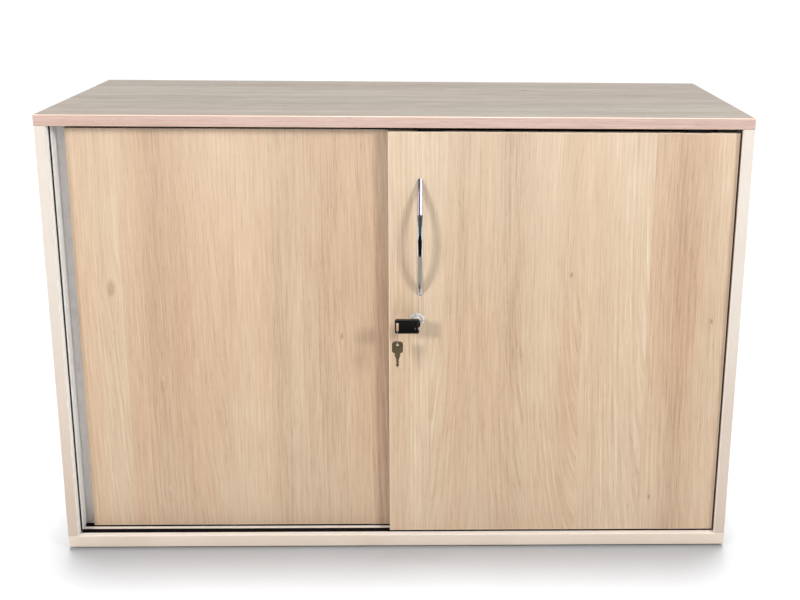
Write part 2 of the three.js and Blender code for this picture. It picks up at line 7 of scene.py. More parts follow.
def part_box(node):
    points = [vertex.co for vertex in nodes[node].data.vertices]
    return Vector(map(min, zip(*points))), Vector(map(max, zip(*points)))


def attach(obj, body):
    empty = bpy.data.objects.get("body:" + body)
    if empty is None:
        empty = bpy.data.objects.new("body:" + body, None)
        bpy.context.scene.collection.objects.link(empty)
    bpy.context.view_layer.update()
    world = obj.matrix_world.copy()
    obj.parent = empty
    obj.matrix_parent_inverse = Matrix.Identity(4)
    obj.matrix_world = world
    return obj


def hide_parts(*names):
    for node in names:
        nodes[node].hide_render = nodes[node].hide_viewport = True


# Office credenza with two sliding doors: finishes, handle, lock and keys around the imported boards

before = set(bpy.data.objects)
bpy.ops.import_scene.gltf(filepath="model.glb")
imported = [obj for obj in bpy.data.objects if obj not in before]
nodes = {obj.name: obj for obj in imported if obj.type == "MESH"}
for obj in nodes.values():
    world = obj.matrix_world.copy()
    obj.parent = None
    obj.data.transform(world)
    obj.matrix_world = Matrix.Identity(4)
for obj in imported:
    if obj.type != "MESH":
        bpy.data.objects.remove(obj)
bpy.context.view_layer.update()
mm = 0.001
print("frame loaded,", len(nodes), "nodes")


# Shader building

def linear(shade):
    # hex shade as seen on screen, to the linear colour of a shader
    parts = [int(shade[i:i + 2], 16) / 255 for i in (1, 3, 5)]
    return [p / 12.92 if p <= 0.04045 else ((p + 0.055) / 1.055) ** 2.4 for p in parts] + [1.0]


class Signal:
    # a socket of a finish that takes plain arithmetic

    def __init__(self, finish, socket):
        self.finish = finish
        self.socket = socket

    def __add__(self, other):
        return self.finish.math("ADD", self, other)

    def __sub__(self, other):
        return self.finish.math("SUBTRACT", self, other)

    def __rsub__(self, other):
        return self.finish.math("SUBTRACT", other, self)

    def __mul__(self, other):
        return self.finish.math("MULTIPLY", self, other)

    def __truediv__(self, other):
        return self.finish.math("DIVIDE", self, other)

    __radd__ = __add__
    __rmul__ = __mul__


class Finish:
    # one material, with its nodes made by short calls

    def __init__(self, name):
        self.material = bpy.data.materials.new(name)
        self.material.use_nodes = True
        self.tree = self.material.node_tree
        self.shader = self.tree.nodes["Principled BSDF"]
        self.place = self.add("ShaderNodeTexCoord").outputs["Object"]
        split = self.add("ShaderNodeSeparateXYZ")
        self.tree.links.new(self.place, split.inputs[0])
        self.x, self.y, self.z = (Signal(self, s) for s in split.outputs)

    def add(self, kind, **settings):
        node = self.tree.nodes.new(kind)
        for key, value in settings.items():
            setattr(node, key, value)
        return node

    def feed(self, socket, value):
        if isinstance(value, Signal):
            self.tree.links.new(value.socket, socket)
        else:
            socket.default_value = value

    def set(self, **values):
        # roughness=0.4 feeds Roughness, base_color feeds Base Color
        names = {s.name.lower().replace(" ", "_"): s for s in self.shader.inputs}
        for key, value in values.items():
            self.feed(names[key], value)
        return self

    def math(self, operation, *values, clamp=False):
        node = self.add("ShaderNodeMath", operation=operation, use_clamp=clamp)
        for socket, value in zip(node.inputs, values):
            self.feed(socket, value)
        return Signal(self, node.outputs[0])

    def vector(self, x, y, z):
        node = self.add("ShaderNodeCombineXYZ")
        for socket, value in zip(node.inputs, (x, y, z)):
            self.feed(socket, value)
        return Signal(self, node.outputs[0])

    def noise(self, x, y, z, detail=2.0, roughness=0.5):
        node = self.add("ShaderNodeTexNoise")
        self.feed(node.inputs["Vector"], self.vector(x, y, z))
        node.inputs["Scale"].default_value = 1.0
        node.inputs["Detail"].default_value = detail
        node.inputs["Roughness"].default_value = roughness
        return Signal(self, node.outputs["Fac"])

    def span(self, value, low, high, start=0.0, end=1.0):
        node = self.add("ShaderNodeMapRange", interpolation_type="SMOOTHSTEP")
        for socket, given in zip(node.inputs, (value, low, high, start, end)):
            self.feed(socket, given)
        return Signal(self, node.outputs[0])

    def ramp(self, value, stops):
        node = self.add("ShaderNodeValToRGB")
        self.feed(node.inputs[0], value)
        elements = node.color_ramp.elements
        elements.remove(elements[-1])
        for count, (spot, shade) in enumerate(stops):
            element = elements.new(spot) if count else elements[0]
            element.position = spot
            element.color = linear(shade)
        return Signal(self, node.outputs["Color"])

    def mix(self, share, first, second, mode="MIX"):
        node = self.add("ShaderNodeMix", data_type="RGBA", blend_type=mode)
        self.feed(node.inputs[0], share)
        for socket, value in zip(node.inputs[6:8], (first, second)):
            self.feed(socket, linear(value) if isinstance(value, str) else value)
        return Signal(self, node.outputs[2])

    def bump(self, height, depth, strength=1.0):
        node = self.add("ShaderNodeBump")
        node.inputs["Strength"].default_value = strength
        node.inputs["Distance"].default_value = depth
        self.feed(node.inputs["Height"], height)
        return Signal(self, node.outputs[0])

    def insets(self, box):
        # how far a point lies inside the box, along each axis
        low, high = box
        middle, half = (low + high) / 2, (high - low) / 2
        sides = zip((self.x, self.y, self.z), middle, half)
        return [h - self.math("ABSOLUTE", side - m) for side, m, h in sides]

    def edgeInset(self, box):
        # distance to the nearest edge of the box, on its faces
        a, b, c = self.insets(box)
        inner = self.math("MINIMUM", self.math("MAXIMUM", a, b), c)
        return self.math("MAXIMUM", self.math("MINIMUM", a, b), inner)


# Wood decor: planks side by side, printed with the grain along one axis

def perPlank(steps, planks, key):
    # a value that changes from plank to plank
    value = planks[0][key]
    for step, before, after in zip(steps, planks, planks[1:]):
        value = step * (after[key] - before[key]) + value
    return value


def grainOf(finish, across, along, grain):
    planks = grain["planks"]
    steps = [finish.math("GREATER_THAN", across, plank["start"]) for plank in planks[1:]]
    seed = perPlank(steps, planks, "seed") + grain["seed"]
    drift = finish.noise(across * 2.4, along * 1.1, seed, 1.5) - 0.5
    u = across + drift * grain["wander"]
    knotShade = 0.0
    for spotU, spotV, size, depth in grain["knots"]:
        du = u - spotU
        dv = (along - spotV) * 0.4
        reach = (du * du + dv * dv) / size ** 2
        u = u - du * finish.math("EXPONENT", reach * -1.0) * 0.7
        knotShade = finish.span(reach, 0.0, 0.2, depth, 0.0) + knotShade
    stripes = 0.0
    for place, width, depth in grain["stripes"]:
        offset = (u - place) / width
        stripes = finish.math("EXPONENT", offset * offset * -1.0) * depth + stripes
    ripple = finish.noise(u * 14, along * 2.6, seed + 3.0, 2.0) - 0.5
    du = u - perPlank(steps, planks, "heartU")
    dv = (along - perPlank(steps, planks, "heartV")) * perPlank(steps, planks, "slope")
    heart = finish.math("SQRT", du * du + dv * dv)
    flow = heart + ripple * 0.004
    growth = finish.math("FRACT", (heart + ripple * 0.01) / grain["ringGap"])
    rings = finish.span(growth, 0.4, 0.8) - finish.span(growth, 0.84, 1.0)
    figure = finish.span(finish.noise(u * 8, along * 1.2, seed + 5.0, 1.0), 0.42, 0.6)
    bands = finish.noise(u * grain["bands"], along * 0.9, seed + 7.0, 3.0, 0.55)
    lines = finish.noise(flow * 390, along * 3, seed + 11.0, 2.0, 0.75)
    fibres = finish.noise(flow * 640, along * 14, seed + 13.0, 1.0, 0.6)
    pores = finish.span(finish.noise(flow * 520, along * 45, seed + 17.0, 1.0), 0.6, 0.7)
    tone = (bands - 0.5) * grain["bandDepth"] + lines * 0.5 + fibres * 0.62
    tone = tone + rings * figure * grain["ringDepth"] - pores * 0.1
    tone = tone + perPlank(steps, planks, "tone") + stripes - knotShade - 0.085
    blush = finish.noise(u * 9, along * 0.9, seed + 19.0, 1.0) + perPlank(steps, planks, "blush")
    return {"tone": tone, "fibres": fibres, "pores": pores, "streaks": lines, "blush": blush}


def plankRow(*rows):
    keys = ("start", "tone", "blush", "heartU", "heartV", "slope", "seed")
    return [dict(zip(keys, row)) for row in rows]


def woodDecor(name, across, along, grain):
    finish = Finish(name)
    lines = grainOf(finish, getattr(finish, across), getattr(finish, along), grain)
    colour = finish.ramp(lines["tone"], grain["shades"])
    warmth = finish.span(lines["blush"], 0.35, 0.7, 0.0, grain["blushShare"])
    colour = finish.mix(warmth, colour, grain["blush"], "MULTIPLY")
    texture = lines["fibres"] * 0.6 + lines["streaks"] * 0.5 - lines["pores"] * 1.2
    roughness = finish.span(lines["streaks"] + lines["pores"] * 0.4, 0.3, 1.0, *grain["gloss"])
    finish.set(roughness=roughness, normal=finish.bump(texture, 0.12 * mm, 0.5))
    return finish, colour


doorShades = [(0.05, "#9b8067"), (0.35, "#b69d83"), (0.6, "#c2ac92"), (0.95, "#d3c4ac")]
rightDoorGrain = {
    "seed": 4.3,
    "wander": 0.02,
    "bands": 17.0,
    "bandDepth": 0.45,
    "planks": plankRow(
        (-0.1, 0.03, 0.0, 0.08, 0.95, 0.03, 0.0),
        (0.058, 0.03, 0.0, 0.046, 0.9, 0.05, 0.0),
        (0.139, 0.03, 0.0, 0.236, 0.9, 0.06, 6.3),
        (0.222, 0.05, -0.02, 0.336, 0.6, 0.13, 12.6),
        (0.322, 0.08, -0.02, 0.454, 0.9, 0.07, 18.9),
        (0.438, 0.02, 0.03, 0.62, 1.2, 0.05, 50.9),
    ),
    "stripes": [(0.115, 0.03, -0.13), (0.2, 0.035, -0.16), (0.3, 0.02, -0.1), (0.496, 0.03, -0.2)],
    "ringGap": 0.008,
    "ringDepth": 0.11,
    "knots": [(0.459, 0.096, 0.006, 0.45), (0.303, 0.522, 0.006, 0.45), (0.554, 0.437, 0.006, 0.4)],
    "shades": doorShades,
    "blush": "#f7e4da",
    "blushShare": 0.45,
    "gloss": (0.36, 0.5),
}
leftDoorGrain = dict(
    rightDoorGrain,
    seed=61.8,
    planks=plankRow(
        (-0.6, 0.04, 0.02, -0.466, 0.7, 0.05, 31.5),
        (-0.482, 0.02, 0.02, -0.296, 0.95, 0.055, 6.3),
        (-0.31, 0.02, 0.02, -0.6, 1.2, 0.04, 6.3),
        (-0.222, -0.09, -0.01, -0.6, -0.3, 0.05, 12.6),
        (-0.125, -0.08, 0.0, 0.02, 1.5, 0.035, 18.9),
    ),
    stripes=[(-0.42, 0.045, -0.12), (-0.27, 0.03, 0.1), (-0.17, 0.03, 0.06)],
    knots=[
        (-0.498, 0.49, 0.019, 0.28), (-0.104, 0.4, 0.008, 0.4), (-0.422, 0.321, 0.008, -0.14),
        (-0.418, 0.105, 0.009, -0.14),
    ],
)
# Edge banding: a paler strip round each door, painted brighter as well as a painted highlight along the
# arrises
doorBandingAndHighlight = {"width": 1.4 * mm, "shade": "#dccbb8", "share": 0.5}
# Painted light: the doors are painted paler towards the top, where more light falls
doorTopPaintedLight = {"pale": "#d9d2c4", "share": 0.1, "from": 0.4, "to": 0.78}
# Painted light: the doors are painted paler towards the floor, standing in for light there
doorFootPaintedLight = {"shade": "#e6cfb5", "share": 0.09, "from": 0.24, "to": 0.05}


def doorFinish(node, grain):
    finish, colour = woodDecor(node.replace("panel", "decor"), "x", "z", grain)
    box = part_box(node)
    insetX, _, insetZ = finish.insets(box)
    rim = finish.math("MINIMUM", insetX, insetZ)
    # paler edge banding, partly a painted highlight along the door's arrises
    width = doorBandingAndHighlight["width"]
    bandingAndHighlight = finish.span(rim, width, width * 1.4, doorBandingAndHighlight["share"], 0.0)
    colour = finish.mix(bandingAndHighlight, colour, doorBandingAndHighlight["shade"])
    # painted light, paler towards the top of the door
    paintedTopLight = finish.span(finish.z, doorTopPaintedLight["from"], doorTopPaintedLight["to"], 0.0, doorTopPaintedLight["share"])
    colour = finish.mix(paintedTopLight, colour, doorTopPaintedLight["pale"])
    # painted light, paler towards the foot of the door
    paintedFootLight = finish.span(finish.z, doorFootPaintedLight["to"], doorFootPaintedLight["from"], doorFootPaintedLight["share"], 0.0)
    colour = finish.mix(paintedFootLight, colour, doorFootPaintedLight["shade"])
    finish.set(base_color=colour, ior=1.45)
    return finish.material


topGrain = dict(
    rightDoorGrain,
    seed=119.1,
    planks=plankRow(
        (-0.3, 0.03, 0.0, -0.05, -1.4, 0.05, 0.0),
        (-0.12, -0.02, 0.0, -0.16, 1.6, 0.05, 6.3),
        (0.01, 0.02, 0.0, 0.15, -1.2, 0.045, 12.6),
        (0.13, 0.0, 0.0, 0.1, 1.5, 0.05, 18.9),
    ),
    stripes=[],
    ringDepth=0.12,
    knots=[(-0.11, -0.2, 0.007, 0.4), (0.1, 0.24, 0.006, 0.4)],
    shades=[(0.05, "#575047"), (0.35, "#766f66"), (0.6, "#867f77"), (0.95, "#98928b")],
    blushShare=0.25,
    gloss=(0.45, 0.6),
)
edgingGrain = dict(
    rightDoorGrain,
    seed=233.0,
    bands=140.0,
    bandDepth=0.65,
    wander=0.003,
    planks=plankRow((0.0, 0.0, 0.0, 0.7, -3.0, 0.012, 0.0)),
    stripes=[],
    ringGap=0.0035,
    ringDepth=0.12,
    knots=[],
    shades=[(0.05, "#9b7f75"), (0.35, "#b1968a"), (0.6, "#bda49a"), (0.95, "#ccb8af")],
    blushShare=0.15,
)


def topFinish():
    finish, colour = woodDecor("top_decor", "y", "x", topGrain)
    rub = finish.span(finish.edgeInset(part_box("top_panel")), 0.3 * mm, 2.0 * mm, 0.35, 0.0)
    colour = finish.mix(rub, colour, "#d9c8b2")
    finish.set(base_color=colour, ior=1.45)
    return finish.material


def edgingFinish():
    finish, colour = woodDecor("edging_decor", "z", "x", edgingGrain)
    low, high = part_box("top_front_edging")
    arris = finish.math("MINIMUM", finish.z - low.z, high.z - finish.z)
    rub = finish.span(arris, 0.4 * mm, 1.6 * mm, 0.5, 0.0)
    colour = finish.mix(rub, colour, "#c4a68a")
    finish.set(base_color=colour, ior=1.45)
    return finish.material


# Plain laminates

laminates = {
    "cream": {"base": "#cbc2b8", "deep": "#c6bcb1", "worn": "#d5ccc2", "gloss": (0.36, 0.5)},
    "ivory": {"base": "#dccdbe", "deep": "#d2c2b2", "worn": "#e4d7cb", "gloss": (0.36, 0.5)},
    "white": {"base": "#faf9f5", "deep": "#f3f1ec", "worn": "#e6e4dd", "gloss": (0.45, 0.6)},
    "backing": {"base": "#e3e0d9", "deep": "#dfdcd4", "worn": "#cfcbc2", "gloss": (0.45, 0.6)},
}

# Painted shade: a brown strip on the inner face where the right door closes, standing in for the shadow in
# that gap
gapPaintedShade = {
    "panel": "right_side_panel",
    "proud": 2.6 * mm,
    "width": 12 * mm,
    "softEdge": 1.0 * mm,
    "shade": "#94735a",
}


def laminateFinish(node, kind):
    tones = laminates[kind]
    finish = Finish(node + "_laminate")
    cloud = finish.noise(finish.x * 5, finish.y * 5, finish.z * 5, 3.0, 0.6)
    grit = finish.noise(finish.x * 700, finish.y * 700, finish.z * 700, 2.0, 0.6)
    pearl = finish.noise(finish.x * 2300, finish.y * 2300, finish.z * 2300, 1.0)
    colour = finish.ramp(cloud * 0.75 + grit * 0.25, [(0.35, tones["deep"]), (0.6, tones["base"])])
    chips = finish.noise(finish.x * 60, finish.y * 60, finish.z * 60, 3.0, 0.65)
    rub = finish.span(finish.edgeInset(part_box(node)) + chips * 0.8 * mm, 0.5 * mm, 1.6 * mm, 0.8, 0.0)
    colour = finish.mix(rub, colour, tones["worn"])
    if node.endswith("_side_panel"):
        low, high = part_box(node)
        # Painted shade: the side panels are painted darker towards the floor, where less light reaches them
        paintedLowShade = finish.span(finish.z + cloud * 0.06, 0.05, 0.6, 1.0, 0.0)
        colour = finish.mix(paintedLowShade, colour, "#f4e9e1", "MULTIPLY")
        innerX = min(abs(low.x), abs(high.x))
        inner = finish.span(finish.math("ABSOLUTE", finish.x), innerX + 0.1 * mm, innerX + 0.4 * mm, 1.0, 0.0)
        colour = finish.mix(inner, colour, laminates["white"]["base"])
        if node == gapPaintedShade["panel"]:
            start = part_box("right_door_panel")[0].y - gapPaintedShade["proud"]
            end = start + gapPaintedShade["width"]
            softEdge = gapPaintedShade["softEdge"]
            # painted shade in the gap beside the right door, on the inner face only
            paintedGapShade = finish.span(finish.y, start, start + softEdge) - finish.span(finish.y, end, end + softEdge)
            colour = finish.mix(paintedGapShade * inner, colour, gapPaintedShade["shade"])
    # Painted light: the top face of the bottom panel is painted paler, standing in for light falling on it
    if node == "bottom_panel":
        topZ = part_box(node)[1].z
        inner = finish.span(finish.z, topZ - 0.4 * mm, topZ - 0.1 * mm)
        colour = finish.mix(inner, colour, "#faf1e8")
    scuff = finish.noise(finish.x * 3, finish.y * 3, finish.z * 14, 4.0, 0.7)
    roughness = finish.span(scuff * 0.6 + grit * 0.4, 0.3, 0.7, *tones["gloss"])
    finish.set(base_color=colour, roughness=roughness, ior=1.45)
    finish.set(normal=finish.bump(grit * 0.5 + pearl * 0.5, 0.05 * mm, 0.35))
    return finish.material


# Moulded plastics and rubber

plastics = {
    # black and rubber are dark plastic and rubber with a brown tint, a painted reflection of the wood beside
    # the gaps
    "black": {"shades": ("#110d0c", "#1e1815"), "scuff": "#3d3732", "gloss": (0.32, 0.55), "grit": 0.06},
    "rubber": {"shades": ("#1d1610", "#2a2119"), "scuff": "#4a4239", "gloss": (0.6, 0.85), "grit": 0.1},
    "nylon": {"shades": ("#2f2e2c", "#3b3a37"), "scuff": "#5a5852", "gloss": (0.35, 0.55), "grit": 0.03},
    # guide: a darker, browner copy of black plastic, painted shade and reflection for the dark gap above the
    # doors
    "guide": {"shades": ("#080403", "#0d0705"), "scuff": "#140d0a", "gloss": (0.6, 0.8), "grit": 0.06},
    "key": {"shades": ("#030203", "#080607"), "scuff": "#221e20", "gloss": (0.3, 0.5), "grit": 0.05},
}


def plasticFinish(name, kind, run=(1.0, 1.0, 1.0)):
    look = plastics[kind]
    finish = Finish(name)
    x, y, z = (side * share for side, share in zip((finish.x, finish.y, finish.z), run))
    grain = finish.noise(x * 1500, y * 1500, z * 1500, 2.0, 0.6)
    cloud = finish.noise(x * 45, y * 45, z * 45, 3.0, 0.6)
    scratch = finish.noise(x * 420, y * 420, z * 420, 2.0, 0.7)
    colour = finish.ramp(cloud, [(0.35, look["shades"][0]), (0.65, look["shades"][1])])
    worn = finish.span(scratch * 0.6 + cloud * 0.4, 0.58, 0.74, 0.0, 0.6)
    colour = finish.mix(worn, colour, look["scuff"])
    roughness = finish.span(cloud * 0.6 + grain * 0.4, 0.3, 0.7, *look["gloss"])
    finish.set(base_color=colour, roughness=roughness, ior=1.5)
    finish.set(normal=finish.bump(grain + scratch * 0.3, look["grit"] * mm, 0.5))
    return finish.material


# Metals: run stretches the brush lines along one axis

metals = {
    "anodised": {"shades": ("#eae8e6", "#f6f4f2"), "gloss": (0.4, 0.55), "depth": 0.02, "metallic": 0.1},
    "chrome": {"shades": ("#d6d6da", "#e6e6ea"), "gloss": (0.03, 0.12), "depth": 0.003, "metallic": 1.0},
    "nickel": {"shades": ("#eceae8", "#fafaf8"), "gloss": (0.2, 0.32), "depth": 0.012, "metallic": 0.7},
    "zinc": {"shades": ("#a3a29b", "#bdbcb4"), "gloss": (0.28, 0.46), "depth": 0.02, "metallic": 1.0},
    "steel": {"shades": ("#b6b5b1", "#d0cfcb"), "gloss": (0.3, 0.46), "depth": 0.012, "metallic": 1.0},
    "bronze": {"shades": ("#534a37", "#695f47"), "gloss": (0.28, 0.46), "depth": 0.02, "metallic": 0.5},
}


def metalFinish(name, kind, run=(1.0, 1.0, 1.0)):
    look = metals[kind]
    finish = Finish(name)
    x, y, z = (side * share for side, share in zip((finish.x, finish.y, finish.z), run))
    brush = finish.noise(x * 2600, y * 2600, z * 2600, 2.0, 0.6)
    smear = finish.noise(finish.x * 90, finish.y * 90, finish.z * 60, 3.0, 0.6)
    colour = finish.ramp(brush * 0.4 + smear * 0.6, [(0.35, look["shades"][0]), (0.62, look["shades"][1])])
    roughness = finish.span(smear * 0.65 + brush * 0.35, 0.32, 0.68, *look["gloss"])
    finish.set(base_color=colour, roughness=roughness, metallic=look["metallic"])
    finish.set(normal=finish.bump(brush, look["depth"] * mm, 0.4))
    return finish.material


# Finish of each imported board and fitting that stays

def dress(node, material, arris=0.4 * mm):
    piece = nodes[node]
    piece.material_slots[0].material = material
    weld = piece.modifiers.new("weld", "WELD")
    weld.merge_threshold = 0.005 * mm
    if arris:
        bevel = piece.modifiers.new("arris", "BEVEL")
        bevel.width = arris
        bevel.segments = 2
        bevel.limit_method = "ANGLE"
        bevel.angle_limit = math.radians(50)


blackPlastic = plasticFinish("black_plastic", "black")
trackPlastic = plasticFinish("track_plastic", "black", (0.02, 1.0, 1.0))
rubber = plasticFinish("strip_rubber", "rubber")
nylon = plasticFinish("wheel_nylon", "nylon")
# painted shade: a darker copy of the black plastic, for the top guides
guideShadedPlastic = plasticFinish("guide_plastic", "guide")
keyPlastic = plasticFinish("key_plastic", "key")
aluminium = metalFinish("brushed_aluminium", "anodised", (1.0, 1.0, 0.01))
chrome = metalFinish("handle_chrome", "chrome")
nickel = metalFinish("lock_nickel", "nickel")
zinc = metalFinish("pin_zinc", "zinc")
steel = metalFinish("bright_steel", "steel")
bronze = metalFinish("key_bronze", "bronze", (0.15, 1.0, 1.0))

dress("right_door_panel", doorFinish("right_door_panel", rightDoorGrain), 0)
dress("left_door_panel", doorFinish("left_door_panel", leftDoorGrain), 0)
dress("top_panel", topFinish())
dress("top_front_edging", edgingFinish())
creamBoards = (
    "left_side_panel", "right_side_panel", "centre_divider", "left_shelf", "right_shelf",
)
for node in creamBoards:
    dress(node, laminateFinish(node, "cream"))
dress("bottom_panel", laminateFinish("bottom_panel", "ivory"))
dress("back_panel", laminateFinish("back_panel", "backing"))
for node in nodes:
    if node.endswith("_track"):
        dress(node, trackPlastic, 0.3 * mm)
    elif node.endswith(("_roller_housing", "_glide")):
        dress(node, blackPlastic, 0.5 * mm)
    elif node.endswith("_top_guide"):
        dress(node, guideShadedPlastic, 0.5 * mm)
    elif node.endswith(("_buffer_strip", "_track_stop")):
        dress(node, rubber, 0.5 * mm)
    elif node.endswith("_wheel"):
        dress(node, nylon, 0.3 * mm)
    elif node.endswith("_end_profile"):
        dress(node, aluminium, 0.3 * mm)
    elif "_shelf_pin_" in node:
        dress(node, zinc, 0.3 * mm)
for node in ("upper_handle_screw", "lower_handle_screw", "lock_nut", "key_blade", "key_hinge_pin"):
    dress(node, steel, 0.2 * mm)
dress("lock_plug", nickel, 0.2 * mm)
dress("key_hub", keyPlastic, 0.4 * mm)
print("boards and fittings dressed")


# Mesh building

def makePiece(name, bm, material, body, replaced, smoothAngle=35):
    bmesh.ops.recalc_face_normals(bm, faces=bm.faces)
    mesh = bpy.data.meshes.new(name)
    bm.to_mesh(mesh)
    bm.free()
    mesh.shade_smooth()
    mesh.set_sharp_from_angle(angle=math.radians(smoothAngle))
    mesh.materials.append(material)
    piece = bpy.data.objects.new(name, mesh)
    bpy.context.scene.collection.objects.link(piece)
    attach(piece, body)
    if replaced:
        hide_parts(*replaced)
    return piece


def skin(bm, rings, closed=False):
    # joins rings of points with four-sided faces
    rows = [[bm.verts.new(p) for p in ring] for ring in rings]
    pairs = list(zip(rows, rows[1:])) + ([(rows[-1], rows[0])] if closed else [])
    for first, second in pairs:
        for a, b, c, d in zip(first, first[1:] + first[:1], second[1:] + second[:1], second):
            bm.faces.new((a, b, c, d))
    if not closed:
        bm.faces.new(rows[0])
        bm.faces.new(rows[-1])


def turned(profile, centre, closed=False, steps=72):
    # profile of (radius, y) turned about an axis along Y
    bm = bmesh.new()
    rings = []
    for radius, y in profile:
        angles = [2 * math.pi * i / steps for i in range(steps)]
        rings.append([
            (centre.x + radius * math.cos(a), centre.y + y, centre.z + radius * math.sin(a)) for a in angles
        ])
    skin(bm, rings, closed)
    return bm


def boxMiddle(node):
    low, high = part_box(node)
    return (low + high) / 2


# Chrome bow handle: every line of its section is an arc that ends flush on the door

bow = {"thickness": 7 * mm, "squareness": 2.4, "sectionSteps": 40, "lengthSteps": 96}


def bowHandle():
    low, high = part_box("bow_handle")
    middle = (low + high) / 2
    faceY = high.y
    thick = bow["thickness"]
    wide = high.x - low.x
    rise = high.y - low.y - thick / 2
    half = (high.z - low.z) / 2
    radius = (half ** 2 + rise ** 2 - thick ** 2 / 4) / (thick + 2 * rise)
    hub = radius - rise
    bm = bmesh.new()
    lines = []
    for i in range(bow["sectionSteps"]):
        angle = 2 * math.pi * i / bow["sectionSteps"]
        power = 2 / bow["squareness"]
        out = thick / 2 * math.copysign(abs(math.cos(angle)) ** power, math.cos(angle))
        side = wide / 2 * math.copysign(abs(math.sin(angle)) ** power, math.sin(angle))
        reach = math.acos(hub / (radius + out))
        steps = [reach * (2 * k / bow["lengthSteps"] - 1) for k in range(bow["lengthSteps"] + 1)]
        lines.append([
            Vector((
                middle.x + side,
                faceY + hub - (radius + out) * math.cos(a),
                middle.z + (radius + out) * math.sin(a),
            ))
            for a in steps
        ])
    skin(bm, list(zip(*lines)))
    makePiece("chrome_bow", bm, chrome, "right_door", ["bow_handle"], 50)


bowHandle()


# Lock: turned rosette and plunger

lock = {"axis": boxMiddle("lock_plunger"), "faceY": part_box("right_door_panel")[0].y}
lock["centre"] = Vector((lock["axis"].x, lock["faceY"], lock["axis"].z))


def rosette():
    profile = [
        (7.8, -2.6), (8.1, -3.0), (9.2, -3.0), (9.45, -2.75), (9.8, -2.75), (10.05, -3.0), (10.6, -3.0),
        (11.3, -2.7), (11.9, -2.2), (12.4, -1.6), (12.8, -0.8), (13.0, 0.0), (9.0, 0.0),
    ]
    threads = []
    for i in range(18):
        y = 1.0 + i
        threads += [(9.0, y - 0.5), (8.7, y)]
    profile += threads + [(9.0, 18.6), (8.7, 19.0), (4.3, 19.0), (4.3, 17.0), (7.8, 17.0)]
    bm = turned([(r * mm, y * mm) for r, y in profile], lock["centre"], True)
    makePiece("lock_rosette", bm, nickel, "right_door", ["lock_housing"])


def plunger():
    profile = [
        (0.1, 2.3), (5.3, 2.3), (5.3, -12.6), (5.7, -13.0), (6.9, -13.0), (7.35, -12.8), (7.5, -12.4),
        (7.5, 5.6), (7.1, 6.0), (4.0, 6.0), (4.0, 18.4), (3.4, 19.0), (0.1, 19.0),
    ]
    bm = turned([(r * mm, y * mm) for r, y in profile], lock["centre"])
    makePiece("lock_push_button", bm, nickel, "lock_plunger", ["lock_plunger"])


rosette()
plunger()


# Flat pieces with rounded arrises, from outlines with a radius at each corner

def roundedLoop(corners, steps=6):
    points = []
    for i, (x, z, radius) in enumerate(corners):
        here = Vector((x, z))
        before = (Vector(corners[i - 1][:2]) - here).normalized()
        after = (Vector(corners[(i + 1) % len(corners)][:2]) - here).normalized()
        if radius <= 0:
            points.append(here)
            continue
        half = before.angle(after) / 2
        centre = here + (before + after).normalized() * radius / math.sin(half)
        start = here + before * radius / math.tan(half) - centre
        end = here + after * radius / math.tan(half) - centre
        sweep = start.angle_signed(end)
        for k in range(steps + 1):
            turn = Matrix.Rotation(-sweep * k / steps, 2)
            points.append(centre + turn @ start)
    return points


def circleLoop(x, z, radius, steps=32):
    angles = [2 * math.pi * i / steps for i in range(steps)]
    return [Vector((x + radius * math.cos(a), z + radius * math.sin(a))) for a in angles]


def plate(loops, thickness, soften, middleY):
    # loops in x and z, the outer one first, thick along y
    curve = bpy.data.curves.new("outline", "CURVE")
    curve.dimensions = "2D"
    curve.fill_mode = "BOTH"
    curve.extrude = thickness / 2 - soften
    curve.bevel_depth = soften
    curve.bevel_resolution = 2
    curve.offset = -soften
    for loop in loops:
        spline = curve.splines.new("POLY")
        spline.points.add(len(loop) - 1)
        spline.use_cyclic_u = True
        for point, spot in zip(spline.points, loop):
            point.co = (spot.x, spot.y, 0, 1)
    holder = bpy.data.objects.new("outline", curve)
    bpy.context.scene.collection.objects.link(holder)
    view = bpy.context.evaluated_depsgraph_get()
    mesh = bpy.data.meshes.new_from_object(holder.evaluated_get(view))
    bm = bmesh.new()
    bm.from_mesh(mesh)
    bpy.data.objects.remove(holder)
    bpy.data.curves.remove(curve)
    bpy.data.meshes.remove(mesh)
    bm.transform(Matrix.Translation((0, middleY, 0)) @ Matrix.Rotation(math.pi / 2, 4, "X"))
    bmesh.ops.remove_doubles(bm, verts=bm.verts, dist=0.002 * mm)
    return bm


keyHead = {
    "corner": 3.2 * mm,
    "slotWidth": 4.2 * mm,
    "slotLength": 17 * mm,
    "slotFromEnd": 2.4 * mm,
    "slotBar": 2.5 * mm,
    "overlap": 4 * mm,
    "barrel": 2.5 * mm,
    "barrelGap": 0.5 * mm,
    "hingeGap": 0.3 * mm,
    "soften": 0.8 * mm,
}


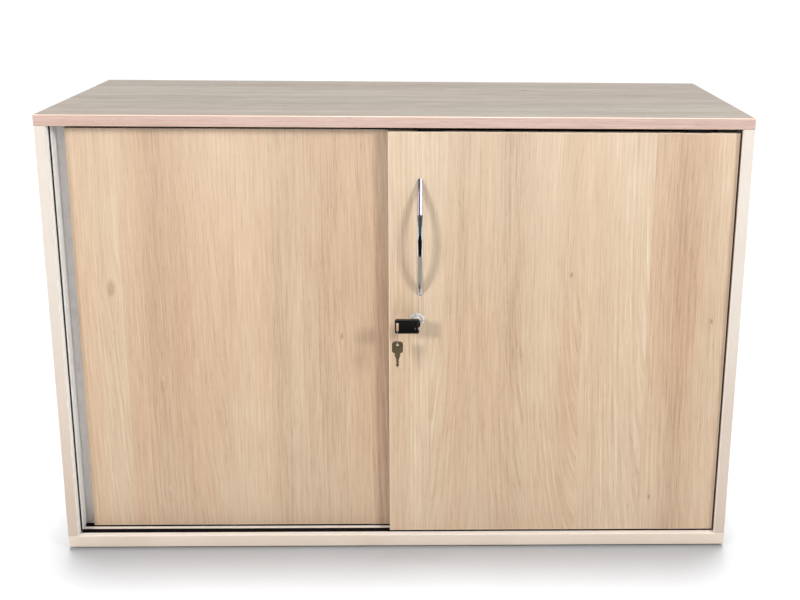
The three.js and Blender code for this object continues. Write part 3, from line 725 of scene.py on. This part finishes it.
def headOfKey():
    low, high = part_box("key_head")
    r = keyHead["corner"]
    midZ = (low.z + high.z) / 2
    inner = high.x - keyHead["overlap"] - keyHead["barrel"] - keyHead["barrelGap"]
    hubLow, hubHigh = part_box("key_hub")
    tongue = (hubHigh.z - hubLow.z) / 2 + keyHead["hingeGap"]
    outer = roundedLoop([
        (low.x, low.z, r), (high.x, low.z, r), (high.x, midZ - tongue, 0), (inner, midZ - tongue, 0),
        (inner, midZ + tongue, 0), (high.x, midZ + tongue, 0), (high.x, high.z, r), (low.x, high.z, r),
    ])
    x0 = low.x + keyHead["slotFromEnd"]
    x1 = x0 + keyHead["slotWidth"]
    z0 = low.z + keyHead["slotBar"]
    z1 = z0 + keyHead["slotLength"]
    s = keyHead["slotWidth"] * 0.3
    slot = roundedLoop([(x0, z0, s), (x1, z0, s), (x1, z1, s), (x0, z1, s)])
    bm = plate([outer, slot], high.y - low.y, keyHead["soften"], (low.y + high.y) / 2)
    makePiece("folding_key_head", bm, keyPlastic, "key_head", ["key_head"])


headOfKey()


# Wire ring with its ends lapped, and the spare key

ring = {"wire": 0.6 * mm, "lap": 0.12, "steps": 96, "sides": 12}


def wireRing():
    low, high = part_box("key_ring")
    middle = (low + high) / 2
    wire = ring["wire"]
    radius = (high.z - low.z) / 2 - wire
    bm = bmesh.new()
    rings = []
    for i in range(ring["steps"] + 1):
        along = i / ring["steps"]
        angle = 2 * math.pi * along * (1 + ring["lap"]) + 0.6
        shift = (along - 0.5) * 2 * wire * 1.05
        out = Vector((0, math.sin(angle), math.cos(angle)))
        centre = middle + out * radius + Vector((shift, 0, 0))
        turn = [2 * math.pi * k / ring["sides"] for k in range(ring["sides"])]
        rings.append([centre + out * wire * math.cos(t) + Vector((wire * math.sin(t), 0, 0)) for t in turn])
    skin(bm, rings)
    makePiece("wire_ring", bm, steel, "key_ring", ["key_ring"], 60)


spare = {
    "hole": 2.4 * mm,
    "holeDrop": 6.3 * mm,
    "bowHeight": 20.8 * mm,
    "corner": 5.5 * mm,
    "collar": 9.6 * mm,
    "collarHeight": 4.5 * mm,
    "taper": 6.5 * mm,
    "blade": 5.5 * mm,
    "tip": 4.2 * mm,
    "soften": 0.35 * mm,
    "cuts": ((2.6, 1.2, 1.3), (7.9, 1.4, 1.2)),
    "cutHalf": 2.0 * mm,
    "cutFlat": 0.6 * mm,
}


def keyFlank(side, half, neck):
    # edge of the blade from its neck down, with a cut at each drop below the neck
    points = [(side * half, neck, 1.0 * mm)]
    for drop, leftDepth, rightDepth in spare["cuts"]:
        z = neck - drop * mm
        inset = half - (leftDepth if side < 0 else rightDepth) * mm
        outer, flat = spare["cutHalf"], spare["cutFlat"]
        rises = ((half, outer), (inset, flat), (inset, -flat), (half, -outer))
        points += [(side * x, z + rise, 0.12 * mm) for x, rise in rises]
    return points


def spareKey():
    low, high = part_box("spare_key")
    mid = (low.x + high.x) / 2
    bowLow = high.z - spare["bowHeight"]
    collarLow = bowLow - spare["collarHeight"]
    half = spare["blade"] / 2
    neck = collarLow - spare["taper"]
    r = spare["corner"]
    wide = spare["collar"] / 2
    tipZ = low.z + spare["tip"]
    flanks = []
    for side in (-1, 1):
        flank = [
            (side * (high.x - mid), high.z, r), (side * (high.x - mid), bowLow, r * 0.8),
            (side * wide, bowLow - 0.6 * mm, 0.5 * mm), (side * wide, collarLow, 1.0 * mm),
        ]
        flanks.append(flank + keyFlank(side, half, neck) + [(side * half * 0.95, tipZ, 0.8 * mm)])
    corners = flanks[0] + [(0.0, low.z, 0.6 * mm)] + flanks[1][::-1]
    outline = roundedLoop([(mid + x, z, radius) for x, z, radius in corners], 4)
    hole = circleLoop(mid, high.z - spare["holeDrop"], spare["hole"])
    bm = plate([outline, hole], high.y - low.y, spare["soften"], (low.y + high.y) / 2)
    makePiece("spare_key_blank", bm, bronze, "spare_key", ["spare_key"])


wireRing()
spareKey()
print("handle, lock and keys made")


# Studio: pale floor, soft lights, camera

studio = {
    "floorSize": 60.0,
    "sky": 0.2,
    "keyPower": 26.0,
    "keySize": 0.55,
    "keySpread": 120.0,
    "overheadStrength": 6.6,
    "overheadSpread": 19.0,
    "overheadTilt": 7.6,
}


def floorSheet():
    bm = bmesh.new()
    bmesh.ops.create_grid(bm, x_segments=8, y_segments=8, size=studio["floorSize"] / 2)
    mesh = bpy.data.meshes.new("studio_floor")
    bm.to_mesh(mesh)
    bm.free()
    finish = Finish("floor_paint")
    cloud = finish.noise(finish.x * 2, finish.y * 2, 0.0, 3.0)
    finish.set(base_color=finish.ramp(cloud, [(0.3, "#b1b2b4"), (0.7, "#b7b8ba")]))
    finish.set(roughness=0.9, specular_ior_level=0.0)
    mesh.materials.append(finish.material)
    floor = bpy.data.objects.new("studio_floor", mesh)
    bpy.context.scene.collection.objects.link(floor)


def backdrop():
    # white all round, seen by the camera alone
    bm = bmesh.new()
    bmesh.ops.create_uvsphere(bm, u_segments=48, v_segments=24, radius=studio["floorSize"] * 0.49)
    mesh = bpy.data.meshes.new("studio_backdrop")
    bm.to_mesh(mesh)
    bm.free()
    finish = Finish("backdrop_white")
    finish.set(base_color=(0.0, 0.0, 0.0, 1.0), specular_ior_level=0.0)
    finish.set(emission_color=(1.0, 1.0, 1.0, 1.0), emission_strength=1.0)
    mesh.materials.append(finish.material)
    dome = bpy.data.objects.new("studio_backdrop", mesh)
    dome.visible_diffuse = False
    dome.visible_glossy = False
    dome.visible_shadow = False
    bpy.context.scene.collection.objects.link(dome)


def softLight(name, place, target, size, power):
    data = bpy.data.lights.new(name, "AREA")
    data.shape = "RECTANGLE"
    data.size, data.size_y = size
    data.energy = power
    data.spread = math.radians(studio["keySpread"])
    light = bpy.data.objects.new(name, data)
    light.visible_glossy = False
    light.location = place
    light.rotation_euler = (Vector(target) - Vector(place)).to_track_quat("-Z", "Y").to_euler()
    bpy.context.scene.collection.objects.link(light)


# Cloths and cards that only mirrors show: two opposite corners, a shade and a glow
mirrorCards = {
    "near_cloth": ((-1.0, -1.15, 0.002), (1.0, -0.35, 0.002), "#6a675d", 0.0),
    "far_cloth": ((-2.0, -4.6, 0.002), (2.0, -1.15, 0.002), "#0c0c0c", 0.0),
    "room_card": ((-3.0, -4.6, 0.0), (3.0, -4.6, 1.75), "#56605e", 0.0),
    "gap_card": ((-1.7, -4.6, 1.75), (0.1, -4.6, 8.0), "#2e2b30", 0.0),
    "left_card": ((-12.0, -4.6, 1.75), (-1.7, -4.6, 5.0), "#dcc8e0", 0.5),
    "right_card": ((0.1, -4.6, 1.75), (12.0, -4.6, 8.0), "#f6f2fa", 0.85),
}


def mirrorCard(name, low, high, shade, glow):
    bm = bmesh.new()
    corners = [low, (high[0], low[1], low[2]), high, (low[0], high[1], high[2])]
    bm.faces.new([bm.verts.new(c) for c in corners])
    mesh = bpy.data.meshes.new(name)
    bm.to_mesh(mesh)
    bm.free()
    finish = Finish(name + "_cloth")
    weave = finish.noise(finish.x * 300, finish.y * 300, finish.z * 300, 2.0)
    finish.set(base_color=linear(shade), specular_ior_level=0.0)
    finish.set(roughness=finish.span(weave, 0.3, 0.7, 0.85, 1.0))
    if glow:
        finish.set(emission_color=linear(shade), emission_strength=glow)
    mesh.materials.append(finish.material)
    card = bpy.data.objects.new(name, mesh)
    card.visible_camera = False
    card.visible_diffuse = False
    card.visible_shadow = False
    bpy.context.scene.collection.objects.link(card)


def studioLight():
    world = bpy.data.worlds.new("studio_sky")
    world.use_nodes = True
    sky = world.node_tree.nodes["Background"]
    sky.inputs["Color"].default_value = (1.0, 1.0, 1.0, 1.0)
    sky.inputs["Strength"].default_value = studio["sky"]
    bpy.context.scene.world = world
    aim = (0.0, -0.2, 0.75)
    size = (studio["keySize"], studio["keySize"])
    softLight("left_softbox", (-2.05, -2.2, 1.55), aim, size, studio["keyPower"])
    softLight("right_softbox", (2.15, -2.05, 1.75), aim, size, studio["keyPower"])
    data = bpy.data.lights.new("overhead_light", "SUN")
    data.energy = studio["overheadStrength"]
    data.angle = math.radians(studio["overheadSpread"])
    overhead = bpy.data.objects.new("overhead_light", data)
    overhead.rotation_euler = (math.radians(-studio["overheadTilt"]), 0.0, 0.0)
    bpy.context.scene.collection.objects.link(overhead)


photoCamera = {
    "place": (0.0476, -2.0309, 1.0929),
    "turn": (75.841, -0.553, -1.435),
    "focalPixels": 1097.4,
    "axisPixel": (455.0, 212.0),
    "framePixels": (800, 600),
}


def setCamera():
    data = bpy.data.cameras.new("photo_camera")
    wide, tall = photoCamera["framePixels"]
    axisX, axisY = photoCamera["axisPixel"]
    data.sensor_width = 36.0
    data.lens = photoCamera["focalPixels"] / wide * data.sensor_width
    data.shift_x = (wide / 2 - axisX) / wide
    data.shift_y = (axisY - tall / 2) / wide
    camera = bpy.data.objects.new("photo_camera", data)
    camera.location = photoCamera["place"]
    camera.rotation_euler = [math.radians(a) for a in photoCamera["turn"]]
    bpy.context.scene.collection.objects.link(camera)
    bpy.context.scene.camera = camera


floorSheet()
backdrop()
for name, card in mirrorCards.items():
    mirrorCard(name, *card)
studioLight()
setCamera()
bpy.context.scene.view_settings.view_transform = "Standard"
print("studio set")
